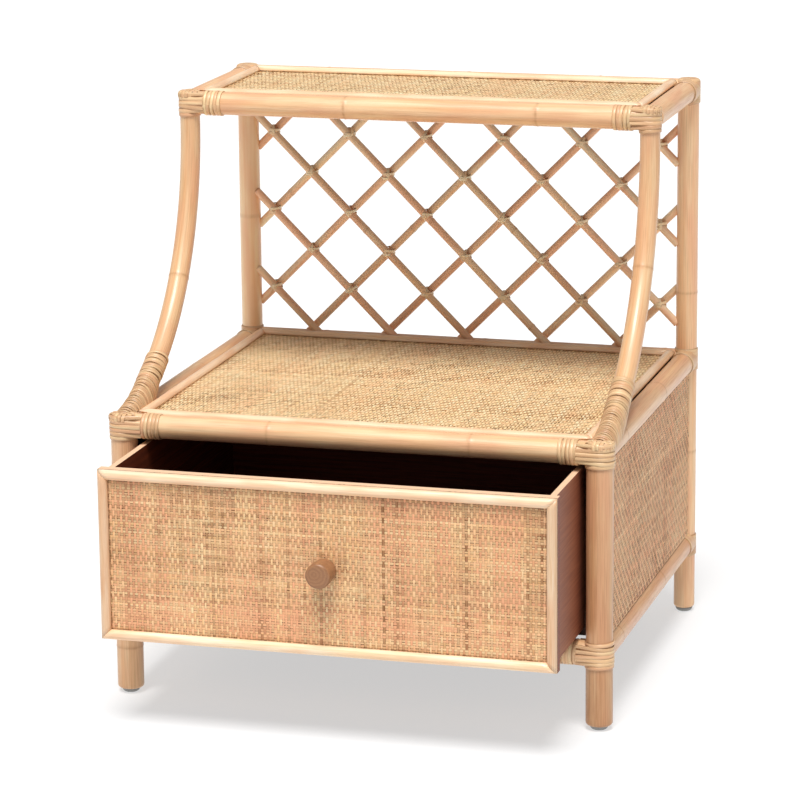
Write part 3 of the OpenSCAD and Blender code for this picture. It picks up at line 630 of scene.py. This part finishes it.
# ---------------------------------------------------------------------------------------
# Knots and bindings: rattan peel, the shiny outer skin split into strips three or four
# millimetres wide, wound wet and tight so that each turn beds against the last.
def lay_strip(bundle, line, out, wide, width, thick, draw, tone=0.0):
    """A strip of peel on a line of points, out away from what it lies on, wide across the strip."""
    profile = np.array([(-0.5, 0.0), (-0.47, 0.75), (-0.25, 0.97), (0.0, 1.05), (0.25, 0.97), (0.47, 0.75),
                        (0.5, 0.0)])
    run = np.concatenate([[0], np.cumsum(np.linalg.norm(np.diff(line, axis=0), axis=1))])
    grow = profile[None, :, 1] * thick * (1 + 0.08 * np.sin(run / 0.009 + draw.uniform(0, 6)))[:, None]
    spread = profile[None, :, 0] * width * (1 + 0.05 * np.sin(run / 0.013 + draw.uniform(0, 6)))[:, None]
    wide = np.broadcast_to(wide, line.shape)
    rows = line[:, None] + spread[..., None] * wide[:, None] + grow[..., None] * out[:, None]
    shift = draw.uniform(-9, 9, 3)
    grain = np.stack([spread + shift[0], grow + shift[1],
                      np.broadcast_to(run[:, None] + shift[2], grow.shape)], -1)
    middle = len(line) // 2
    if np.dot(np.cross(wide[middle], line[middle + 1] - line[middle]), out[middle]) < 0:
        rows, grain = rows[:, ::-1], grain[:, ::-1]
    # The strip is painted darker towards its edges, as shade where turns meet.
    tones = max(0, tone + draw.normal(0.05, 0.08)) + np.array([0.5, 0.18, 0, 0, 0, 0.18, 0.5])
    bundle.loft(rows, grain, tone=np.broadcast_to(tones, grow.shape), hue=max(0, draw.normal(0.08, 0.2)),
                round_=False)


def square_to(axis):
    """Two directions square to an axis and to each other."""
    first = np.cross(axis, Z if abs(axis[2]) < 0.8 else X)
    first /= np.linalg.norm(first)
    return first, np.cross(axis, first)


def lay_band(bundle, centre, axis, radii, width, thick, draw, tilt, tone=0.0):
    """One turn of peel round an axis; radii are its inner ones along the two directions of square_to."""
    axis = np.asarray(axis, float) + draw.normal(0, tilt, 3)
    axis /= np.linalg.norm(axis)
    first, second = square_to(axis)
    turn = np.linspace(0, 2 * math.pi, 49)[:, None]
    line = centre + radii[0] * np.cos(turn) * first + radii[1] * np.sin(turn) * second
    out = radii[1] * np.cos(turn) * first + radii[0] * np.sin(turn) * second
    lay_strip(bundle, line, out / np.linalg.norm(out, axis=1, keepdims=True), axis, width, thick, draw, tone)


# Split rattan peel: browner and glossier than the core, with painted shade where turns meet.
rattan_peel = cane_material("rattan_peel_wound", pale="F8DBAA", body="E6BA8A", blush="E2AE84", dark="7E5228",
                            fibre_mm=0.5, streak_mm=3, roughness=0.42, coat=0.25, bump=0.25, contrast=0.9)

knots = Bundle()
knot_draw = np.random.default_rng(81)
half_pitch = LATTICE_PITCH / 2
for row in range(1, 6):
    for column in range(-5, 6):
        if (row + column) % 2:
            continue
        spot = np.array([column * half_pitch, LEG_Y, LATTICE_FOOT_Z + row * half_pitch])
        depth, reach = 2 * stick_r + 0.2 * MM, stick_r * math.sqrt(2) + 0.3 * MM
        shade = knot_draw.uniform(-0.15, 0.05)
        lay_band(knots, spot, X, (depth, reach), 3.6 * MM, 0.5 * MM, knot_draw, 0.15, shade)
        for offset in (-1.5, 1.5):
            lay_band(knots, spot + offset * MM * Z, Z, (depth, reach), 3.0 * MM, 0.6 * MM,
                     knot_draw, 0.12, shade)
# Peel from thinner cane: almost cream, so that the knots stand out from the sticks.
knot_peel = cane_material("rattan_peel_knotted", pale="FFF4D2", body="FFE6B8", blush="FCD6AA",
                          dark="8A5E34", fibre_mm=0.5, streak_mm=3, roughness=0.45, coat=0.15,
                          contrast=0.7)
knots.build("lattice_peel_knots", knot_peel, "cabinet", "peel", "lattice_knots")


def wind(bundle, start, way, length, radius, width, draw):
    """Turns of peel side by side along a straight pole."""
    turns = max(1, int(round(length / width)))
    step = length / turns
    for k in range(turns):
        lay_band(bundle, start + way * step * (k + 0.5), way, (radius, radius), step * 1.02,
                 1.1 * MM, draw, tilt=0.035)


def lay_cap(bundle, top, radius, draw):
    """Strips of peel woven over the end of an upright pole, their ends under the last turns."""
    width = 4.0 * MM
    for layer, way in enumerate((X, Y)):
        over = np.cross(Z, way)
        for k in (-2, -1, 0, 1, 2):
            offset = k * width
            reach = math.sqrt(max(radius ** 2 - offset ** 2, (0.35 * radius) ** 2))
            t = np.linspace(-1.3, 1.3, 31)[:, None]
            flat = np.clip(t, -1, 1)
            drop = np.maximum(np.abs(t) - 1, 0) * 14 * MM + 1.6 * MM * flat ** 4 + 0.25 * MM * k ** 2
            lift = 0.4 * MM * np.cos(math.pi * (flat * reach / width + layer + k)) + layer * 0.2 * MM
            line = top + over * (offset * (1 - 0.12 * flat ** 2)) + flat * reach * way + (lift - drop) * Z
            out = flat ** 3 * way * 0.9 + (1 - 0.75 * flat ** 4) * Z
            lay_strip(bundle, line, out / np.linalg.norm(out, axis=1, keepdims=True), over, width,
                      0.9 * MM, draw, tone=0.04)


BAND_W = 3.6 * MM
ON_RAIL = 8 * MM
CAP_HEIGHT = 1.5 * MM
# Name, place in y and z, radius of the upright pole, and whether its end is covered
CORNERS = (("binding_deck", -LEG_Y, DECK_Z, LEG_R, 1), ("binding_top", ARM_Y, SHELF_Z, ARM_R, 1),
           ("binding_base", -LEG_Y, BASE_Z, LEG_R, 0))
for name, y, z, radius, capped in CORNERS:
    for side_name, sign in (("left", -1), ("right", 1)):
        node_name = f"{name}_{side_name}"
        low, high = corners_of(node_name)
        draw = np.random.default_rng(90 + sum(map(ord, node_name)))
        wound = Bundle()
        # Round the rail, from under the turns that hold it to the pole
        rail_end = low[0] if sign > 0 else high[0]
        rail_start = sign * (LEG_X - radius - ON_RAIL + 1 * MM)
        wind(wound, np.array([rail_start, y, z]), -sign * X, abs(rail_start - rail_end),
             RAIL_R + 0.1 * MM, BAND_W, draw)
        # Round the pole; those level with the rail reach out along it on both sides
        tall = high[2] - low[2] - capped * CAP_HEIGHT
        count = int(round(tall / (1.08 * BAND_W)))
        step = tall / count
        for k in range(count):
            level_z = low[2] + (k + 0.5) * step
            off = abs(level_z - z)
            spot = np.array([sign * LEG_X, y, level_z])
            if off > RAIL_R - 1.5 * MM:
                lay_band(wound, spot, Z, (radius + 0.15 * MM,) * 2, 1.02 * step, 1.1 * MM, draw, tilt=0.03)
                continue
            turn = np.radians(np.linspace(-90, 90, 25))[:, None]
            round_pole = (radius + 0.2 * MM) * (np.cos(turn) * sign * X + np.sin(turn) * Y)
            end_x = -sign * (radius + ON_RAIL) * X
            end_y = (math.sqrt(RAIL_R ** 2 - off ** 2) + 0.7 * MM) * Y
            part = np.linspace(0, 1, 7)[:-1, None]
            line = np.concatenate([(end_x - end_y) * (1 - part) + round_pole[0] * part, round_pole,
                                   ((end_x + end_y) * (1 - part) + round_pole[-1] * part)[::-1]])
            out = np.concatenate([np.repeat(-Y[None], 6, 0), round_pole / radius,
                                  np.repeat(Y[None], 6, 0)])
            lean = draw.normal(0, 0.035) * line[:, :1] * Z
            lay_strip(wound, spot + line + lean, out, Z, 1.04 * step, 1.2 * MM, draw)
        if capped:
            lay_cap(wound, np.array([sign * LEG_X, y, z + RAIL_R + 0.3 * MM]), radius + 0.8 * MM, draw)
        wound.build(f"{node_name}_peel", rattan_peel, "cabinet", "peel", node_name)

# The lashing at the foot of each arm: turns round the arm alone, then, as the arm comes
# down on the side rail, turns drawn tight round both. Places are degrees of the arm's bend.
LASH_FROM, LASH_TO, LASH_STEP = 56.5, 81, 0.78
LASH_MEETS, LASH_JOINING, LASH_TAPERS = 63, 8, 79
for side_name, sign in (("left", -1), ("right", 1)):
    draw = np.random.default_rng(120 + sign)
    wound = Bundle()
    for degrees in np.arange(LASH_FROM, LASH_TO, LASH_STEP):
        angle = math.radians(degrees)
        both = min(1, max(0, (degrees - LASH_MEETS) / LASH_JOINING))
        arm_way = np.array([0, -math.sin(angle), -math.cos(angle)])
        way = arm_way * (1 - both) - Y * both
        centre = arm_point(sign * LEG_X, angle)
        drop = (centre[2] - DECK_Z) * both / 2
        swell = math.sin(math.radians(7.2 * (degrees - 56)))
        puff = (0.15 + 0.35 * swell + draw.uniform(0, 0.3)) * MM
        puff -= max(0, degrees - LASH_TAPERS) * 0.7 * MM
        lay_band(wound, centre - drop * Z, way, (ARM_R + puff, ARM_R + drop + puff), BAND_W, 1.1 * MM, draw,
                 tilt=0.05, tone=0.13)
    wound.build(f"arm_lashing_{side_name}_peel", rattan_peel, "cabinet", "peel", f"arm_lashing_{side_name}")


def lay_sleeve(bundle, start, axis, radius, length, draw, dome=0.0):
    """A broad piece of peel drawn round a pole; dome rounds its far end over the end of the pole."""
    axis = np.asarray(axis, float)
    first, second = square_to(axis)
    thick = 1.0 * MM
    near = [(0, 0), (0.3, 0.6), (0.9, 0.95), (2.0, 1.0)]
    near = [(a * MM, radius + t * thick) for a, t in near]
    far = [(length - a, r) for a, r in near[::-1]]
    if dome:
        bend = np.radians(np.linspace(0, 90, 8))
        far = [(length - dome + dome * math.sin(t), radius + thick - dome * (1 - math.cos(t))) for t in bend]
        far += [(length + 0.2 * MM, 0.5 * (radius - dome)), (length + 0.25 * MM, 0.1 * MM)]
    middle = [(a, radius + thick) for a in np.linspace(3 * MM, length - dome - 3 * MM, 8)]
    profile = np.array(near + middle + far)
    turn = np.linspace(0, 2 * math.pi, 65)[:, None]
    ragged = 0.5 * MM * np.sin(2 * turn + draw.uniform(0, 6))
    ragged = ragged + 0.25 * MM * np.sin(5 * turn + draw.uniform(0, 6))
    along = profile[None, :, 0] + ragged * np.clip(1 - profile[None, :, 0] / (0.5 * length), 0, 1)
    reach = np.broadcast_to(profile[None, :, 1], along.shape)
    rows = (start + along[..., None] * axis + (reach * np.cos(turn))[..., None] * first
            + (reach * np.sin(turn))[..., None] * second)
    shift = draw.uniform(-9, 9, 3)
    grain = np.stack([along + shift[0], reach + shift[1],
                      np.broadcast_to(turn * radius + shift[2], along.shape)], -1)
    # The sleeve's cut edges are painted darker, as shade where they meet the pole.
    tones = np.where(np.arange(len(profile)) < 2, 0.55, 0.1 + draw.uniform(0, 0.08))
    if not dome:
        tones[-2:] = 0.55
    bundle.loft(rows[:, ::-1], grain[:, ::-1], tone=np.broadcast_to(tones[::-1], along.shape), hue=0.2,
                round_=False)


# The rear joints: one broad piece of peel round the end of each side rail, another round
# the post, closed over its top at the shelf.
for side_name, sign in (("left", -1), ("right", 1)):
    node_name = f"rear_sleeves_{side_name}"
    low, high = corners_of(node_name)
    draw = np.random.default_rng(140 + sign)
    wound = Bundle()
    for z, below, above in ((SHELF_Z, 2, 0), (DECK_Z, -2, 2), (BASE_Z, 2, -2)):
        bottom = z - RAIL_R - below * MM
        top = z + RAIL_R + above * MM
        dome = 0.0
        if z == SHELF_Z:
            top, dome = high[2] - 0.4 * MM, 4 * MM
        lay_sleeve(wound, np.array([sign * LEG_X, LEG_Y, bottom]), Z, POST_R + 0.1 * MM, top - bottom,
                   draw, dome)
        lay_sleeve(wound, np.array([sign * LEG_X, low[1], z]), Y, RAIL_R + 0.1 * MM, LEG_Y - low[1],
                   draw)
    wound.build(f"{node_name}_peel", rattan_peel, "cabinet", "peel", node_name)


# ---------------------------------------------------------------------------------------
# The glides: grey plastic discs with rounded rims, pressed under the legs and posts so that
# the cane stands clear of the floor.
glide_grey = new_material("glide_polyethylene_moulded")
glide_place = node(glide_grey, "ShaderNodeTexCoord").outputs["Object"]
glide_spots = node(glide_grey, "ShaderNodeTexNoise", {"Vector": glide_place, "Scale": 700.0, "Detail": 3.0})
glide_tint = blend(glide_grey, glide_spots.outputs["Fac"], linear("9A9A98"), linear("838381"))
glide_relief = node(glide_grey, "ShaderNodeBump", {"Height": glide_spots.outputs["Fac"], "Strength": 0.15,
                                                   "Distance": 0.1 * MM})
finish_surface(glide_grey, Base_Color=glide_tint, Roughness=0.5, Normal=glide_relief.outputs[0])
discs = Bundle()
glide_low, glide_high = corners_of("glides")
glide_r = glide_high[0] - LEG_X
for x in (-LEG_X, LEG_X):
    for y in (-LEG_Y, LEG_Y):
        bend = np.radians(np.linspace(0, 90, 9))
        fall = glide_high[2] - glide_low[2]
        outline = [(glide_r, 0)]
        outline += [(glide_r - 4 * MM * (1 - math.cos(t)), -fall * math.sin(t)) for t in bend[1:]]
        outline = np.array(outline + [(glide_r - 5 * MM, -fall), (1 * MM, -fall)])
        turn = np.linspace(0, 2 * math.pi, 48, endpoint=False)
        rows = np.stack([x + outline[:, :1] * np.cos(turn), y + outline[:, :1] * np.sin(turn),
                         np.broadcast_to(glide_high[2] + outline[:, 1:], (len(outline), 48))], -1)
        discs.loft(rows, rows, caps=True)
discs.build("glide_discs", glide_grey, "cabinet", "glide_plastic", "glides")


# ---------------------------------------------------------------------------------------
# The drawer: a box of thin boards stained red-brown, their top edges left raw, grooved for
# a plywood bottom. Its front is a board with a woven mat and a mitred half-round frame.
RAW_EDGE = ("F6D6B4", "E2B08A")
# The outer faces of the drawer sides take a paler, duller red-brown.
OUTER_FACE_COLOURS = ("96593E", "7F4630")
drawer_board_y = stained_wood("drawer_side_red_stain", "8E4528", "6C2F1A", 1, 0.5, RAW_EDGE, OUTER_FACE_COLOURS)
drawer_board_x = stained_wood("drawer_back_red_stain", "8E4528", "6C2F1A", 0, 0.5, RAW_EDGE)
# The bottom's near-black is dark stain and partly painted shade, for the low light inside the drawer.
drawer_panel = stained_wood("drawer_bottom_stain_and_painted_shade", "40231A", "2A1510", 0, 0.6)
dress(drawer_board_y, "drawer_side_left", "drawer_side_right")
dress(drawer_board_x, "drawer_front", "drawer_back")
dress(drawer_panel, "drawer_bottom")
FRONT_PITCH, FRONT_THICK = 2.65 * MM, 0.36 * MM
# The fourth and fifth numbers of each direction are painted shade, at strand edges and in dips.
FRONT_TONES = ((0.0, 0.26, 0.05, 0.28, 0.36, 1.2), (0.18, 0.12, 0.0, 0.28, 0.36, 0.5))
woven_mat("drawer_mat", "drawer_weave", "drawer", X, Z, -Y, FRONT_PITCH, hopsack, True, 58,
          FRONT_TONES, cane_strand, thick=FRONT_THICK, bead=BEAD_W)
FRONT_BEAD_W = 2 * middle_of("drawer_bead")[1][1]
bead_frame("drawer_bead_bars", "drawer_bead", "drawer", X, Z, -Y, FRONT_BEAD_W, 64)

# The knob: a short piece of hardwood turned on a lathe, its end grain facing out. Faint
# growth rings run round a pith a little off its axis.
PITH_X, PITH_Z = -2.2 * MM, 3 * MM
knob_wood = new_material("knob_hardwood_turned")
knob_centre = middle_of("knob")[0]
knob_pith = (knob_centre[0] + PITH_X, 0, knob_centre[2] + PITH_Z)
knob_place = node(knob_wood, "ShaderNodeTexCoord").outputs["Object"]
knob_local = node(knob_wood, "ShaderNodeVectorMath", {0: knob_place, 1: knob_pith},
                  operation="SUBTRACT").outputs[0]
knob_warp = node(knob_wood, "ShaderNodeTexNoise", {"Vector": knob_local, "Scale": 160.0, "Detail": 3.0})
knob_flat = node(knob_wood, "ShaderNodeMapping", {"Vector": knob_local, "Scale": (1, 0.05, 1)}).outputs[0]
knob_bent = node(knob_wood, "ShaderNodeVectorMath", {0: knob_warp.outputs["Color"], 1: (0.0012,) * 3,
                                                     2: knob_flat}, operation="MULTIPLY_ADD").outputs[0]
knob_rings = node(knob_wood, "ShaderNodeTexWave", {"Vector": knob_bent, "Scale": 90.0, "Distortion": 3.5,
                                                   "Detail": 3.0}, wave_type="RINGS", rings_direction="Y")
knob_tint = blend(knob_wood, knob_rings.outputs["Fac"], linear("9E704C"), linear("926645"))
knob_pores = node(knob_wood, "ShaderNodeTexNoise", {"Vector": knob_flat, "Scale": 1500.0, "Detail": 2.0})
knob_dots = remap(knob_wood, knob_pores.outputs["Fac"], 0.55, 0.75, 0.0, 0.5)
knob_colour = blend(knob_wood, knob_dots, knob_tint, linear("6E4630"))
knob_relief = node(knob_wood, "ShaderNodeBump", {"Height": knob_pores.outputs["Fac"], "Strength": 0.2,
                                                 "Distance": 0.15 * MM})
finish_surface(knob_wood, Base_Color=knob_colour, Roughness=0.42, Normal=knob_relief.outputs[0])
dress(knob_wood, "knob")


# ---------------------------------------------------------------------------------------
# The studio: a plain white floor and soft light, most of it from a broad lamp above and in
# front of the table, the rest from all round. The floor glows a little, so shadows stay faint.
floor_mesh = bpy.data.meshes.new("floor")
FLOOR_HALF = 16.0
floor_mesh.from_pydata([(-FLOOR_HALF, -FLOOR_HALF, 0), (FLOOR_HALF, -FLOOR_HALF, 0),
                        (FLOOR_HALF, FLOOR_HALF, 0), (-FLOOR_HALF, FLOOR_HALF, 0)], [], [(0, 1, 2, 3)])
floor = bpy.data.objects.new("floor", floor_mesh)
bpy.context.scene.collection.objects.link(floor)
floor_white = new_material("floor_painted_white")
finish_surface(floor_white, Base_Color=linear("ADADAD"), Roughness=0.9,
               Emission_Color=(1, 1, 1, 1), Emission_Strength=0.56)
floor_mesh.materials.append(floor_white)

world = bpy.data.worlds.new("studio")
bpy.context.scene.world = world
world.use_nodes = True
world.node_tree.nodes["Background"].inputs["Color"].default_value = (1, 1, 1, 1)
world.node_tree.nodes["Background"].inputs["Strength"].default_value = 0.32

softbox_data = bpy.data.lights.new("softbox", "SUN")
softbox_data.energy = 3.6
softbox_data.angle = math.radians(26)
softbox = bpy.data.objects.new("softbox", softbox_data)
LAMP_WAY = Vector((-0.05, 0.38, -0.92))
softbox.rotation_euler = LAMP_WAY.to_track_quat("-Z", "Y").to_euler()
bpy.context.scene.collection.objects.link(softbox)
bpy.context.scene.view_settings.view_transform = "Standard"
